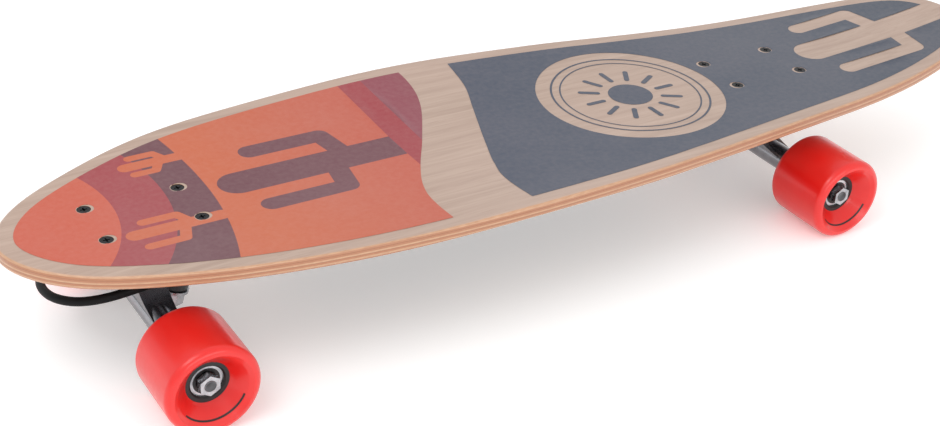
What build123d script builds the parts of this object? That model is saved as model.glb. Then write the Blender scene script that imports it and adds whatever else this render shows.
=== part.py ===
import os
from math import cos, pi, radians, sin, sqrt, tan

from build123d import *

os.makedirs("parts", exist_ok=True)

# ---------------------------------------------------------------- driving sizes, mm
# +X towards the pointed nose, +Y to the rider's left, +Z up, the floor at z = 0.
deck_length = 812.0
deck_half_width = 113.3
deck_thickness = 10.0
deck_edge_radius = 2.5
concave_rise = 5.6
tail_kick_radius = 1190.0
nose_overhang = 94.4
tail_overhang = 212.3
kick_setback = 27.3
truck_height = 50.7
wheel_radius = 31.4
wheel_width = 54.0
wheel_edge_radius = 5.0
bolt_pitch_x = 63.5
bolt_pitch_y = 41.3
hanger_half_length = 81.4
running_gap = 0.3
pin_gap = 0.08

# ---------------------------------------------------------------- deck heights
half_length = deck_length / 2
axle_z = wheel_radius
under_z = axle_z + truck_height
top_z = under_z + deck_thickness
nose_truck_x = half_length - nose_overhang
tail_truck_x = tail_overhang - half_length
kick_start_x = tail_truck_x - kick_setback

# ---------------------------------------------------------------- trucks
# Truck points are (outward from the bolt pattern's centre, up from the deck's underside).
axle_out = 4.4
ring_out = -22.0
ring_down = -36.1
steer_tilt = 24.0
kingpin_tilt = 15.0
ring_radius = 14.5
ring_hole_radius = 8.5
ring_half_thickness = 4.5
upper_bushing_height = 15.0
lower_bushing_height = 11.0
bushing_radius = 11.5
lower_bushing_end_radius = 9.0
washer_thickness = 2.0
kingpin_radius = 4.75
kingpin_head_radius = 8.0
kingpin_head_height = 5.5
kingpin_nut_height = 9.0
kingpin_nut_flats = 14.3
pivot_reach = 50.0
pivot_radius = 5.0
pivot_cup_wall = 2.2
pivot_housing_radius = 10.5
bar_radius = 9.5
bar_end_radius = 8.0
axle_radius = 3.97
base_length = 86.0
base_width = 56.0
base_thickness = 6.0
bolt_radius = 2.5
bolt_hole_radius = 2.7
bolt_head_radius = 4.6
bolt_head_height = 2.1
locknut_flats = 8.0
locknut_height = 5.0

# ---------------------------------------------------------------- wheels and bearings
bearing_bore = 4.0
bearing_outer = 11.0
bearing_width = 7.0
inner_land = 6.0
outer_land = 9.0
ball_radius = 1.98
groove_radius = 2.03
pitch_radius = 7.5
balls_per_bearing = 7
seat_gap = 10.0
speed_washer = 1.0
core_radius = 14.5
axle_nut_height = 5.5
axle_nut_flats = 12.7
bearing_start = hanger_half_length + speed_washer
bearing_end = bearing_start + 2 * bearing_width + seat_gap
face_y = bearing_end + 14.1
back_y = face_y - wheel_width
axle_end_y = bearing_end + speed_washer + axle_nut_height + 0.7

# ---------------------------------------------------------------- hub motor
shaft_radius = 7.5
shaft_socket_radius = 6.0
stator_seat_radius = 9.0
stator_radius = 22.0
air_gap = 0.5
magnet_thickness = 2.0
can_wall = 3.0
cable_radius = 3.0
magnet_count = 14
slot_count = 12
motor_inner_y = back_y
motor_cover_depth = 3.0
motor_race_outer = 14.0
motor_pitch_radius = 10.75
motor_ball_count = 10
can_inner = stator_radius + air_gap + magnet_thickness
can_outer = can_inner + can_wall
socket_face_y = -motor_inner_y + 14.5
shaft_socket_depth = 18.0
port_y = -motor_inner_y + 8.5
web_foot = -socket_face_y - 4.0

# ---------------------------------------------------------------- electronics box
cell_radius = 9.2
cell_length = 65.0
cells_across = 5
cell_gap = 0.3
cell_side_gap = 1.5
cell_lift = 0.6
cell_headroom = 3.5
truck_to_box = 90.0
box_wall = 2.5
box_depth = box_wall + cell_lift + 2 * cell_radius + cell_headroom
box_flange = 9.0
box_flange_thickness = 3.0
box_screw_radius = 1.75
button_radius = 5.0
button_travel = 1.2
port_radius = 5.5
cap_pin_radius = 1.0
rib_height = 1.2
rib_width = 4.0
rib_count = 5
rib_margin = 16.0
box_tail_x = tail_truck_x + truck_to_box
box_nose_x = nose_truck_x - truck_to_box
box_half_width = cells_across * (cell_radius + cell_gap / 2) + cell_side_gap + box_wall
box_floor_z = under_z - box_depth
box_mid_x = (box_tail_x + box_nose_x) / 2
box_length = box_nose_x - box_tail_x
rib_length = box_length - 2 * rib_margin
rib_pitch = 2 * (box_half_width - rib_margin) / (rib_count - 1)
box_screw_y = box_half_width + box_flange / 2
box_screw_bite = 6.5
box_screw_spots = [
    (box_mid_x + share * (box_length / 2 - 12), side * box_screw_y)
    for share in (-1, -0.35, 0.35, 1)
    for side in (-1, 1)
]


def save(builder, name):
    builder.part.label = name
    export_step(builder.part, f"parts/{name}.step")


def axle_line(x):
    return Axis((x, 0, axle_z), (0, 1, 0))


def turn_profile(x, points):
    """Add a solid of revolution about an axle; points are (radius, y)."""
    with BuildSketch(Plane((x, 0, axle_z))) as profile:
        with BuildLine():
            Polyline(*points, close=True)
        make_face()
    revolve(profile.sketch, axis=axle_line(x))


def turn_box(x, inner, outer, y0, y1):
    turn_profile(x, [(inner, y0), (outer, y0), (outer, y1), (inner, y1)])


# ================================================================ deck
# Fractions of the half length and of the half width along the board's outline.
outline = [
    (0.958, 0.330),
    (0.847, 0.605),
    (0.700, 0.811),
    (0.515, 0.937),
    (0.182, 1.000),
    (-0.150, 0.918),
    (-0.446, 0.774),
    (-0.852, 0.552),
    (-0.963, 0.350),
]
# Along the board: position as a fraction of the half length, and the part of the full
# concave there.  The concave fades out over both trucks and on the kick tail.
concave = [
    (1.010, 0.02),
    (0.885, 0.15),
    (0.775, 0.85),
    (0.660, 1.05),
    (0.370, 1.00),
    (0.000, 0.98),
    (-0.150, 0.80),
    (-0.300, 0.46),
    (-0.446, 0.12),
    (-0.560, 0.02),
    (-0.700, 0.02),
    (-0.840, 0.02),
    (-1.010, 0.02),
]
slab_half_width = deck_half_width + 6


def kick_rise(x):
    run = max(0.0, kick_start_x - x)
    return tail_kick_radius - sqrt(tail_kick_radius**2 - run**2)


with BuildPart() as deck:
    for along, share in concave:
        x = along * half_length
        low = under_z + kick_rise(x)
        high = low + deck_thickness
        rise = share * concave_rise * (slab_half_width / deck_half_width) ** 2
        with BuildSketch(Plane((x, 0, 0), x_dir=(0, 1, 0), z_dir=(1, 0, 0))):
            with BuildLine():
                left, right = slab_half_width, -slab_half_width
                ThreePointArc((right, low + rise), (0, low), (left, low + rise))
                Line((left, low + rise), (left, high + rise))
                ThreePointArc((left, high + rise), (0, high), (right, high + rise))
                Line((right, high + rise), (right, low + rise))
            make_face()
    loft()
    with BuildSketch(Plane.XY.offset(under_z - 20)):
        with BuildLine():
            side = [(a * half_length, b * deck_half_width) for a, b in outline]
            other_side = [(x, -y) for x, y in reversed(side)]
            ring = [(half_length, 0), *side, (-half_length, 0), *other_side]
            # The closed curve starts on the side, because a seam on the tip spoils the rounding.
            seam = len(outline) // 2 + 1
            Spline(*ring[seam:], *ring[:seam], periodic=True)
        make_face()
    extrude(amount=80, mode=Mode.INTERSECT)
    rims = deck.edges().filter_by(lambda e: e.length > deck_length / 2)
    fillet(rims, deck_edge_radius)
    for truck_x in (nose_truck_x, tail_truck_x):
        with Locations((truck_x, 0, top_z)):
            with GridLocations(bolt_pitch_x, bolt_pitch_y, 2, 2):
                Cylinder(bolt_hole_radius, 4 * deck_thickness, mode=Mode.SUBTRACT)
        with Locations((truck_x, 0, top_z - bolt_head_height / 2)):
            with GridLocations(bolt_pitch_x, bolt_pitch_y, 2, 2):
                Cone(bolt_radius, bolt_head_radius, bolt_head_height, mode=Mode.SUBTRACT)
        with Locations((truck_x, 0, top_z + 1)):
            with GridLocations(bolt_pitch_x, bolt_pitch_y, 2, 2):
                Cylinder(bolt_head_radius, 2, mode=Mode.SUBTRACT)
    for truck_x in (nose_truck_x, tail_truck_x):
        with Locations((truck_x, 0, under_z - deck_thickness / 2)):
            Box(base_length + 2, base_width + 2, deck_thickness, mode=Mode.SUBTRACT)
    with Locations(*[(x, y, under_z) for x, y in box_screw_spots]):
        Cylinder(box_screw_radius, 2 * box_screw_bite, mode=Mode.SUBTRACT)
save(deck, "deck")

# ================================================================ deck bolts and locknuts
bolt_tip_z = under_z - base_thickness - locknut_height - 2.0
cross_width = 1.1
cross_length = 4.6

with BuildPart() as deck_bolts:
    for truck_x in (nose_truck_x, tail_truck_x):
        with Locations((truck_x, 0, (top_z + bolt_tip_z) / 2)):
            with GridLocations(bolt_pitch_x, bolt_pitch_y, 2, 2):
                Cylinder(bolt_radius, top_z - bolt_tip_z)
        with Locations((truck_x, 0, top_z - bolt_head_height / 2)):
            with GridLocations(bolt_pitch_x, bolt_pitch_y, 2, 2):
                Cone(bolt_radius, bolt_head_radius, bolt_head_height)
        with Locations((truck_x, 0, top_z - 0.7)):
            with GridLocations(bolt_pitch_x, bolt_pitch_y, 2, 2):
                Box(cross_length, cross_width, 1.4, mode=Mode.SUBTRACT)
                Box(cross_width, cross_length, 1.4, mode=Mode.SUBTRACT)
save(deck_bolts, "deck_bolts")

with BuildPart() as deck_locknuts:
    for truck_x in (nose_truck_x, tail_truck_x):
        with BuildSketch(Plane((truck_x, 0, under_z - base_thickness - locknut_height))):
            with GridLocations(bolt_pitch_x, bolt_pitch_y, 2, 2):
                RegularPolygon(locknut_flats / 2, 6, major_radius=False)
                Circle(bolt_radius, mode=Mode.SUBTRACT)
        extrude(amount=locknut_height)
save(deck_locknuts, "deck_locknuts")


# ================================================================ trucks
def build_truck(prefix, truck_x, out, motor_side):
    """One truck; out is +1 when its outer end points to the nose, -1 to the tail."""

    def at(u, h):
        return (truck_x + out * u, 0, under_z + h)

    def along(base, u, h):
        return (base[0] + out * u, 0, base[2] + h)

    axle_x = truck_x + out * axle_out
    ring = at(ring_out, ring_down)
    steer = (cos(radians(steer_tilt)), sin(radians(steer_tilt)))
    pin = (-sin(radians(kingpin_tilt)), cos(radians(kingpin_tilt)))

    def steer_plane(distance):
        origin = along(ring, steer[0] * distance, steer[1] * distance)
        return Plane(origin, x_dir=(0, 1, 0), z_dir=(out * steer[0], 0, steer[1]))

    def pin_plane(distance):
        origin = along(ring, pin[0] * distance, pin[1] * distance)
        return Plane(origin, x_dir=(0, 1, 0), z_dir=(out * pin[0], 0, pin[1]))

    steer_axis = Axis(ring, (out * steer[0], 0, steer[1]))
    axle_low = socket_face_y + shaft_socket_depth + 4 if motor_side else -axle_end_y

    def side_plane():
        return Plane((truck_x, 0, under_z), x_dir=(out, 0, 0), z_dir=(0, -out, 0))

    cup_outer = pivot_radius + pin_gap + pivot_cup_wall
    cup_start = pivot_reach - 10
    cup_end = pivot_reach + 2.5
    upper_top = ring_half_thickness + upper_bushing_height
    seat = upper_top + washer_thickness
    head_start = seat + 8.0
    lower_end = -ring_half_thickness - lower_bushing_height
    nut_top = lower_end - washer_thickness
    nut_end = nut_top - kingpin_nut_height

    # ---- baseplate
    with BuildPart() as baseplate:
        with BuildSketch(Plane((truck_x, 0, under_z - base_thickness))):
            RectangleRounded(base_length, base_width, 9)
        extrude(amount=base_thickness)
        with BuildSketch(pin_plane(seat)):
            Circle(ring_radius - 1)
        extrude(amount=26)
        with BuildSketch(steer_plane(cup_start)):
            Circle(pivot_housing_radius)
        extrude(amount=26)
        with BuildSketch(side_plane()):
            Polygon(
                (-36, -1), (30, -1), (26, -13), (14, -9), (-8, -7.5), (-22, -12.5),
                align=None,
            )
        extrude(amount=4.5, both=True)
        with Locations((truck_x, 0, under_z + 20)):
            Box(3 * base_length, 3 * base_width, 40, mode=Mode.SUBTRACT)
        with BuildSketch(pin_plane(seat)):
            Circle(kingpin_radius)
        extrude(amount=30, mode=Mode.SUBTRACT)
        with BuildSketch(pin_plane(head_start)):
            Circle(kingpin_head_radius + running_gap)
        extrude(amount=30, mode=Mode.SUBTRACT)
        with BuildSketch(steer_plane(cup_start)):
            Circle(cup_outer)
        extrude(amount=cup_end - cup_start, mode=Mode.SUBTRACT)
        with Locations((truck_x, 0, under_z - base_thickness / 2)):
            with GridLocations(bolt_pitch_x, bolt_pitch_y, 2, 2):
                Cylinder(bolt_hole_radius, 2 * base_thickness, mode=Mode.SUBTRACT)
        nut_room = 12.0
        with Locations((truck_x, 0, under_z - base_thickness - nut_room / 2)):
            with GridLocations(bolt_pitch_x, bolt_pitch_y, 2, 2):
                Cylinder(locknut_flats * 0.65, nut_room, mode=Mode.SUBTRACT)
    save(baseplate, f"{prefix}_baseplate")

    # ---- pivot cup: a urethane cup around the hanger's pivot
    with BuildPart() as pivot_cup:
        with BuildSketch(steer_plane(cup_start)):
            Circle(cup_outer)
        extrude(amount=cup_end - cup_start)
        with BuildSketch(steer_plane(cup_start)):
            Circle(pivot_radius + pin_gap)
        extrude(amount=pivot_reach - cup_start + 0.3, mode=Mode.SUBTRACT)
    save(pivot_cup, f"{prefix}_pivot_cup")

    # ---- kingpin, its nut, the two bushings and their washers
    with BuildPart() as kingpin:
        with BuildSketch(pin_plane(nut_end - 2.0)):
            Circle(kingpin_radius)
        extrude(amount=head_start - nut_end + 2.0)
        with BuildSketch(pin_plane(head_start)):
            RegularPolygon(kingpin_head_radius, 6)
        extrude(amount=kingpin_head_height)
        chamfer(kingpin.edges().group_by(Axis.Z)[0], 0.8)
    save(kingpin, f"{prefix}_kingpin")

    with BuildPart() as kingpin_nut:
        with BuildSketch(pin_plane(nut_end)):
            RegularPolygon(kingpin_nut_flats / 2, 6, major_radius=False)
            Circle(kingpin_radius, mode=Mode.SUBTRACT)
        extrude(amount=kingpin_nut_height)
    save(kingpin_nut, f"{prefix}_kingpin_nut")

    with BuildPart() as bushings:
        with BuildSketch(pin_plane(ring_half_thickness)):
            Circle(bushing_radius)
        extrude(amount=upper_bushing_height)
        with BuildSketch(pin_plane(-ring_half_thickness)):
            Circle(bushing_radius - 0.5)
        with BuildSketch(pin_plane(lower_end)):
            Circle(lower_bushing_end_radius)
        loft()
        fillet(bushings.edges().filter_by(GeomType.CIRCLE), 0.9)
        with BuildSketch(pin_plane(nut_end)):
            Circle(kingpin_radius + pin_gap)
        extrude(amount=60, mode=Mode.SUBTRACT)
    save(bushings, f"{prefix}_bushings")

    with BuildPart() as washers:
        with BuildSketch(pin_plane(upper_top)):
            Circle(bushing_radius + 0.7)
            Circle(kingpin_radius + pin_gap, mode=Mode.SUBTRACT)
        extrude(amount=washer_thickness)
        with BuildSketch(pin_plane(nut_top)):
            Circle(lower_bushing_end_radius + 1.2)
            Circle(kingpin_radius + pin_gap, mode=Mode.SUBTRACT)
        extrude(amount=washer_thickness)
    save(washers, f"{prefix}_bushing_washers")

    # ---- hanger: web, pivot, bushing ring and axle bar
    bar_low = socket_face_y if motor_side else -hanger_half_length
    axle_h = -truck_height
    stem_start = cup_start - 1.0
    with BuildPart() as hanger:
        with BuildSketch(side_plane()):
            Polygon(
                (-5, axle_h + 4), (-7, -37), (-11, -34.5), (-10.5, -30), (-7, -25),
                (7, -17.5), (13, -21), (12.5, axle_h + 6), (4, axle_h - 4),
                align=None,
            )
        extrude(amount=60, both=True)
        with BuildSketch(Plane.YZ.offset(truck_x - 60)):
            with BuildLine():
                waist = under_z - 12
                foot = axle_z + 5
                Line((-7.5, waist), (7.5, waist))
                Spline(
                    (7.5, waist), (9.5, waist - 15), (web_foot, foot),
                    tangents=[(0, -1), (1, -0.15)],
                )
                Polyline(
                    (web_foot, foot), (web_foot, axle_z - 6),
                    (-web_foot, axle_z - 6), (-web_foot, foot),
                )
                Spline(
                    (-7.5, waist), (-9.5, waist - 15), (-web_foot, foot),
                    tangents=[(0, -1), (-1, -0.15)],
                )
            make_face()
        extrude(amount=120, mode=Mode.INTERSECT)
        with BuildSketch(steer_plane(pivot_reach - 22)):
            Circle(pivot_radius + 2.0)
        with BuildSketch(steer_plane(stem_start)):
            Circle(pivot_radius)
        loft()
        with BuildSketch(steer_plane(stem_start)):
            Circle(pivot_radius)
        extrude(amount=pivot_reach - stem_start)
        chamfer(hanger.faces().sort_by(steer_axis)[-1].edges(), 1.8)
        with BuildSketch(pin_plane(-ring_half_thickness)):
            Circle(ring_radius)
        extrude(amount=2 * ring_half_thickness)
        if motor_side:
            low_end = [
                (0, bar_low), (bar_radius + 1.5, bar_low),
                (bar_radius + 1.5, bar_low + 15), (bar_radius, bar_low + 18),
            ]
        else:
            low_end = [
                (0, bar_low), (bar_end_radius, bar_low),
                (bar_end_radius, -back_y - 2), (bar_radius, 4 - back_y),
            ]
        high_end = [
            (bar_radius, back_y - 4), (bar_end_radius, back_y + 2),
            (bar_end_radius, hanger_half_length), (0, hanger_half_length),
        ]
        turn_profile(axle_x, low_end + high_end)
        with BuildSketch(pin_plane(-ring_half_thickness - 2)):
            Circle(ring_hole_radius)
        extrude(amount=2 * ring_half_thickness + 4, mode=Mode.SUBTRACT)
        with BuildSketch(Plane((axle_x, hanger_half_length + 1, axle_z), z_dir=(0, 1, 0))):
            Circle(axle_radius)
        extrude(amount=-(hanger_half_length + 1 - axle_low), mode=Mode.SUBTRACT)
        if motor_side:
            with BuildSketch(Plane((axle_x, bar_low, axle_z), z_dir=(0, 1, 0))):
                Circle(shaft_socket_radius)
            extrude(amount=shaft_socket_depth, mode=Mode.SUBTRACT)
    save(hanger, f"{prefix}_hanger")

    with BuildPart() as axle:
        turn_box(axle_x, 0, axle_radius, axle_low, axle_end_y)
        chamfer(axle.edges().filter_by(GeomType.CIRCLE), 0.6)
    save(axle, f"{prefix}_axle")


build_truck("nose", nose_truck_x, 1, True)
build_truck("tail", tail_truck_x, -1, False)
nose_axle_x = nose_truck_x + axle_out
tail_axle_x = tail_truck_x - axle_out


# ================================================================ axle hardware
def hex_nuts(axle_x, ends):
    for end in ends:
        nut_y = end * (bearing_end + speed_washer)
        with BuildSketch(Plane((axle_x, nut_y, axle_z), z_dir=(0, end, 0))) as nut:
            RegularPolygon(axle_nut_flats / 2, 6, major_radius=False)
            Circle(axle_radius, mode=Mode.SUBTRACT)
        extrude(nut.sketch, amount=axle_nut_height)


def washer_pairs(axle_x, ends):
    for end in ends:
        turn_box(axle_x, bearing_bore, inner_land, end * hanger_half_length, end * bearing_start)
        turn_box(
            axle_x, bearing_bore, inner_land,
            end * bearing_end, end * (bearing_end + speed_washer),
        )


def bearing_starts(end):
    """The lower y of each of a wheel's two bearings."""
    near = bearing_start
    far = bearing_end - bearing_width
    if end > 0:
        return [near, far]
    return [-near - bearing_width, -far - bearing_width]


def groove(axle_x, y_mid, pitch):
    with Locations(Plane((axle_x, y_mid, axle_z), z_dir=(0, 1, 0))):
        Torus(pitch, groove_radius, mode=Mode.SUBTRACT)


def inner_race(axle_x, y0):
    turn_box(axle_x, bearing_bore, inner_land, y0, y0 + bearing_width)
    groove(axle_x, y0 + bearing_width / 2, pitch_radius)


def outer_race(axle_x, y0):
    turn_box(axle_x, outer_land, bearing_outer, y0, y0 + bearing_width)
    groove(axle_x, y0 + bearing_width / 2, pitch_radius)


def ball_ring(axle_x, y_mid, pitch, count):
    with Locations(Plane((axle_x, y_mid, axle_z), z_dir=(0, 1, 0))):
        with PolarLocations(pitch, count):
            Sphere(ball_radius)


motor_end_bearing_y = -face_y + 4.0
motor_race_width = 7.0
motor_race_y = -motor_inner_y - 1.0 - motor_race_width

with BuildPart() as nose_axle_nut:
    hex_nuts(nose_axle_x, [1])
save(nose_axle_nut, "nose_axle_nut")

with BuildPart() as tail_axle_nuts:
    hex_nuts(tail_axle_x, [1, -1])
save(tail_axle_nuts, "tail_axle_nuts")

with BuildPart() as nose_speed_washers:
    washer_pairs(nose_axle_x, [1])
save(nose_speed_washers, "nose_speed_washers")

with BuildPart() as tail_speed_washers:
    washer_pairs(tail_axle_x, [1, -1])
save(tail_speed_washers, "tail_speed_washers")

with BuildPart() as nose_inner_races:
    for race_y in bearing_starts(1) + [motor_end_bearing_y]:
        inner_race(nose_axle_x, race_y)
    turn_box(nose_axle_x, shaft_radius, shaft_radius + 1.8, motor_race_y,
             motor_race_y + motor_race_width)
    groove(nose_axle_x, motor_race_y + motor_race_width / 2, motor_pitch_radius)
save(nose_inner_races, "nose_inner_races")

with BuildPart() as tail_inner_races:
    for race_y in bearing_starts(1) + bearing_starts(-1):
        inner_race(tail_axle_x, race_y)
save(tail_inner_races, "tail_inner_races")

# ================================================================ plain wheels
shield_thickness = 0.4
shield_inner = inner_land + 0.4
face_rim_radius = wheel_radius - 5.4


def build_wheel(prefix, axle_x, end):
    """A plain wheel on the end (+1 left, -1 right) of an axle."""

    def y(depth):
        return end * (face_y - depth)

    seat_out = face_y - bearing_end
    seat_in = face_y - bearing_start
    with BuildPart() as tyre:
        with BuildSketch(Plane((axle_x, 0, axle_z))) as profile:
            with BuildLine():
                Polyline(
                    (core_radius, y(seat_out - 2)),
                    (core_radius + 1.5, y(seat_out - 3.5)),
                    (face_rim_radius - 3.0, y(2.5)),
                    (face_rim_radius, y(0)),
                    (wheel_radius, y(0)),
                    (wheel_radius, y(wheel_width)),
                    (wheel_radius - 9, y(wheel_width)),
                    (core_radius + 2.5, y(seat_in + 3.5)),
                    (core_radius, y(seat_in + 2)),
                    close=True,
                )
            make_face()
            tread = profile.vertices().filter_by(lambda v: v.X > wheel_radius - 0.1)
            fillet(tread, wheel_edge_radius)
        revolve(axis=axle_line(axle_x))
    save(tyre, f"{prefix}_tyre")

    with BuildPart() as core:
        turn_profile(axle_x, [
            (core_radius, y(seat_out - 2)),
            (core_radius, y(seat_in + 2)),
            (bearing_outer + 1, y(seat_in + 2)),
            (bearing_outer, y(seat_in + 1)),
            (bearing_outer, y(seat_in - bearing_width)),
            (outer_land, y(seat_in - bearing_width)),
            (outer_land, y(seat_out + bearing_width)),
            (bearing_outer, y(seat_out + bearing_width)),
            (bearing_outer, y(seat_out - 1)),
            (bearing_outer + 1, y(seat_out - 2)),
        ])
    save(core, f"{prefix}_core")

    with BuildPart() as races:
        for race_y in bearing_starts(end):
            outer_race(axle_x, race_y)
    save(races, f"{prefix}_outer_races")

    with BuildPart() as shields:
        for race_y in bearing_starts(end):
            for shield_y in (race_y + 0.3, race_y + bearing_width - 0.3 - shield_thickness):
                turn_box(axle_x, shield_inner, outer_land, shield_y,
                         shield_y + shield_thickness)
    save(shields, f"{prefix}_shields")

    with BuildPart() as balls:
        for race_y in bearing_starts(end):
            ball_ring(axle_x, race_y + bearing_width / 2, pitch_radius, balls_per_bearing)
    save(balls, f"{prefix}_balls")


build_wheel("nose_left", nose_axle_x, 1)
build_wheel("tail_left", tail_axle_x, 1)
build_wheel("tail_right", tail_axle_x, -1)

# ================================================================ hub motor wheel
cap_wall = 3.0
stator_y0 = -face_y + 13.0
stator_y1 = -motor_inner_y - 13.0
cover_y = -motor_inner_y
can_open_y = cover_y - motor_cover_depth
can_mid_y = stator_y1 + 4.0
wire_port_y = stator_y1 + 3.2
tooth_width = 4.4
yoke_radius = 13.5
shoe_depth = 2.0
coil_width = 1.4
coil_overhang = 2.4

with BuildPart() as motor_shaft:
    turn_profile(nose_axle_x, [
        (0, socket_face_y + shaft_socket_depth),
        (shaft_socket_radius, socket_face_y + shaft_socket_depth),
        (shaft_socket_radius, socket_face_y),
        (shaft_radius, socket_face_y),
        (shaft_radius, motor_race_y),
        (stator_seat_radius, motor_race_y),
        (stator_seat_radius, stator_y0),
        (inner_land, stator_y0),
        (inner_land, motor_end_bearing_y + bearing_width),
        (bearing_bore, motor_end_bearing_y + bearing_width),
        (bearing_bore, motor_end_bearing_y),
        (0, motor_end_bearing_y),
    ])
    bore_radius = cable_radius + 0.3
    with BuildSketch(Plane((nose_axle_x, port_y + 3.4, axle_z), z_dir=(0, -1, 0))):
        Circle(bore_radius)
    extrude(amount=port_y - wire_port_y + 6.6, mode=Mode.SUBTRACT)
    with BuildSketch(Plane((nose_axle_x, port_y, axle_z), z_dir=(1, 0, 0))):
        Circle(cable_radius + 0.1)
    extrude(amount=shaft_radius + 2, mode=Mode.SUBTRACT)
    with BuildSketch(Plane((nose_axle_x, wire_port_y, axle_z), z_dir=(1, 0, 0))):
        Circle(2.2)
    extrude(amount=stator_seat_radius + 2, mode=Mode.SUBTRACT)
save(motor_shaft, "motor_shaft")

with BuildPart() as motor_stator:
    with BuildSketch(Plane((nose_axle_x, stator_y0, axle_z), z_dir=(0, 1, 0))):
        Circle(yoke_radius)
        with PolarLocations((yoke_radius + stator_radius) / 2 - 1, slot_count):
            Rectangle(stator_radius - yoke_radius, tooth_width)
        with BuildSketch(mode=Mode.PRIVATE) as shoes:
            Circle(stator_radius)
            Circle(stator_radius - shoe_depth, mode=Mode.SUBTRACT)
            with PolarLocations(stator_radius, slot_count, start_angle=180 / slot_count):
                Rectangle(3 * shoe_depth, 2.2, mode=Mode.SUBTRACT)
        add(shoes.sketch)
        Circle(stator_seat_radius, mode=Mode.SUBTRACT)
    extrude(amount=stator_y1 - stator_y0)
save(motor_stator, "motor_stator")

with BuildPart() as motor_windings:
    coil_in = yoke_radius + 0.5
    coil_out = stator_radius - shoe_depth - 0.9
    coil_mid = (coil_in + coil_out) / 2
    middle_y = (stator_y0 + stator_y1) / 2
    length = stator_y1 - stator_y0
    with Locations(Plane((nose_axle_x, middle_y, axle_z), z_dir=(0, 1, 0))):
        with PolarLocations(coil_mid, slot_count):
            Box(coil_out - coil_in, tooth_width + 2 * coil_width, length + 2 * coil_overhang)
            Box(coil_out - coil_in + 1, tooth_width + 0.1, length + 0.1, mode=Mode.SUBTRACT)
save(motor_windings, "motor_windings")

with BuildPart() as motor_magnets:
    with BuildSketch(Plane((nose_axle_x, stator_y0, axle_z), z_dir=(0, 1, 0))):
        Circle(can_inner)
        Circle(can_inner - magnet_thickness, mode=Mode.SUBTRACT)
        with PolarLocations(can_inner, magnet_count):
            Rectangle(3 * magnet_thickness, 0.8, mode=Mode.SUBTRACT)
    extrude(amount=stator_y1 - stator_y0)
save(motor_magnets, "motor_magnets")

lug_inner = can_inner - 1.6
hub_dish_radius = 10.0
band_inner = 14.0
band_outer = can_outer - 4.0
dish_depth = 0.6
with BuildPart() as motor_can:
    turn_profile(nose_axle_x, [
        (0, -face_y + dish_depth),
        (hub_dish_radius, -face_y + dish_depth),
        (hub_dish_radius + dish_depth, -face_y),
        (band_inner, -face_y),
        (band_inner + dish_depth, -face_y + dish_depth),
        (band_outer - dish_depth, -face_y + dish_depth),
        (band_outer, -face_y),
        (can_outer, -face_y),
        (can_outer, can_open_y),
        (lug_inner, can_open_y),
        (lug_inner, can_mid_y),
        (can_inner, can_mid_y),
        (can_inner, -face_y + cap_wall + 4),
        (can_inner - 2, -face_y + cap_wall),
        (bearing_outer + 3.5, -face_y + cap_wall),
        (bearing_outer + 2.5, motor_end_bearing_y + bearing_width),
        (bearing_outer, motor_end_bearing_y + bearing_width),
        (bearing_outer, motor_end_bearing_y),
        (outer_land, motor_end_bearing_y),
        (outer_land, -face_y + cap_wall),
        (0, -face_y + cap_wall),
    ])
    screw_circle = (lug_inner + can_outer) / 2
    screw_radius = 1.25
    screw_reach = 7.0
    cover_screws = 6
    with Locations(Plane((nose_axle_x, can_open_y, axle_z), z_dir=(0, 1, 0))):
        with PolarLocations(screw_circle, cover_screws):
            Cylinder(screw_radius, 2 * screw_reach, mode=Mode.SUBTRACT)
save(motor_can, "motor_can")

screw_head_radius = 1.9
screw_head_height = 1.5
with BuildPart() as motor_cover:
    turn_profile(nose_axle_x, [
        (shaft_radius + 2.6, cover_y),
        (can_outer - 0.8, cover_y),
        (can_outer, cover_y - 0.8),
        (can_outer, can_open_y),
        (motor_race_outer + 2.5, can_open_y),
        (motor_race_outer + 2.0, motor_race_y),
        (motor_race_outer, motor_race_y),
        (motor_race_outer, motor_race_y + motor_race_width),
        (shaft_radius + 2.6, motor_race_y + motor_race_width),
    ])
    with Locations(Plane((nose_axle_x, cover_y, axle_z), z_dir=(0, 1, 0))):
        with PolarLocations(screw_circle, cover_screws):
            Cylinder(screw_head_radius, 2 * screw_head_height, mode=Mode.SUBTRACT)
            Cylinder(screw_radius, 4 * motor_cover_depth, mode=Mode.SUBTRACT)
save(motor_cover, "motor_cover")

with BuildPart() as motor_cover_screws:
    head_y = cover_y - screw_head_height / 2
    shank = screw_reach + motor_cover_depth - screw_head_height
    with Locations(Plane((nose_axle_x, head_y, axle_z), z_dir=(0, 1, 0))):
        with PolarLocations(screw_circle, cover_screws):
            Cylinder(screw_head_radius, screw_head_height)
    with Locations(Plane((nose_axle_x, cover_y - screw_head_height - shank / 2, axle_z),
                         z_dir=(0, 1, 0))):
        with PolarLocations(screw_circle, cover_screws):
            Cylinder(screw_radius, shank)
    with BuildSketch(Plane((nose_axle_x, cover_y, axle_z), z_dir=(0, -1, 0))):
        with PolarLocations(screw_circle, cover_screws, start_angle=0):
            RegularPolygon(0.9, 6)
    extrude(amount=0.9, mode=Mode.SUBTRACT)
save(motor_cover_screws, "motor_cover_screws")

tyre_lip = 1.0
with BuildPart() as motor_tyre:
    with BuildSketch(Plane((nose_axle_x, 0, axle_z))) as tread_profile:
        tread_mid_y = (cover_y - face_y) / 2
        with Locations(((can_outer + wheel_radius) / 2, tread_mid_y)):
            Rectangle(wheel_radius - can_outer, wheel_width - 2 * tyre_lip)
        tread = tread_profile.vertices().filter_by(lambda v: v.X > wheel_radius - 0.1)
        fillet(tread, min(wheel_edge_radius, wheel_radius - can_outer) - 0.9)
    revolve(axis=axle_line(nose_axle_x))
save(motor_tyre, "motor_tyre")

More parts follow.
